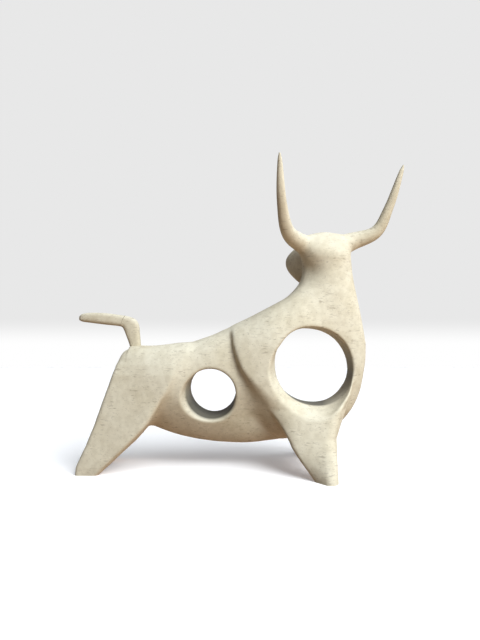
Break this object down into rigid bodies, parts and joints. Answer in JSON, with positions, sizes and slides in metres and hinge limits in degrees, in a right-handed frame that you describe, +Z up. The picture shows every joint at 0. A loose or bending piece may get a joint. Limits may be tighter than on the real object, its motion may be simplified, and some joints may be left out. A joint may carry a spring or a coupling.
{
  "type": "bull sculpture",
  "caption": "Free-standing stylised bull figure with round through openings in barrel and chest, wedge legs, a bent tail and a head turned back over one shoulder.",
  "frame": {"origin": "on the ground, under the middle of the whole figure's box", "axes": "+X the way the body faces, +Z up, +Y to the bull's left, where the head turns"},
  "size_m": [0.2396, 0.0998, 0.2222],
  "materials": {
    "stone": "matte, fine dark grey-brown specks and short dashes, slightly rough edges",
    "dowel": "plain ground rod"
  },
  "bodies": {
    "root": {"barrel": "stone", "forequarter": "stone", "hindquarter": "stone", "foreleg_right": "stone", "foreleg_left": "stone", "hindleg_right": "stone", "hindleg_left": "stone", "head": "stone", "horn_left": "stone", "horn_right": "stone", "tail_stem": "stone", "tail_tip": "stone", "neck_dowel": "dowel", "horn_dowel_left": "dowel", "horn_dowel_right": "dowel", "tail_root_dowel": "dowel", "tail_tip_dowel": "dowel", "foreleg_dowel_left": "dowel", "foreleg_dowel_right": "dowel", "hindleg_dowel_left": "dowel", "hindleg_dowel_right": "dowel", "shoulder_dowel_upper": "dowel", "shoulder_dowel_lower": "dowel", "haunch_dowel_upper": "dowel", "haunch_dowel_lower": "dowel"}
  },
  "joints": []
}
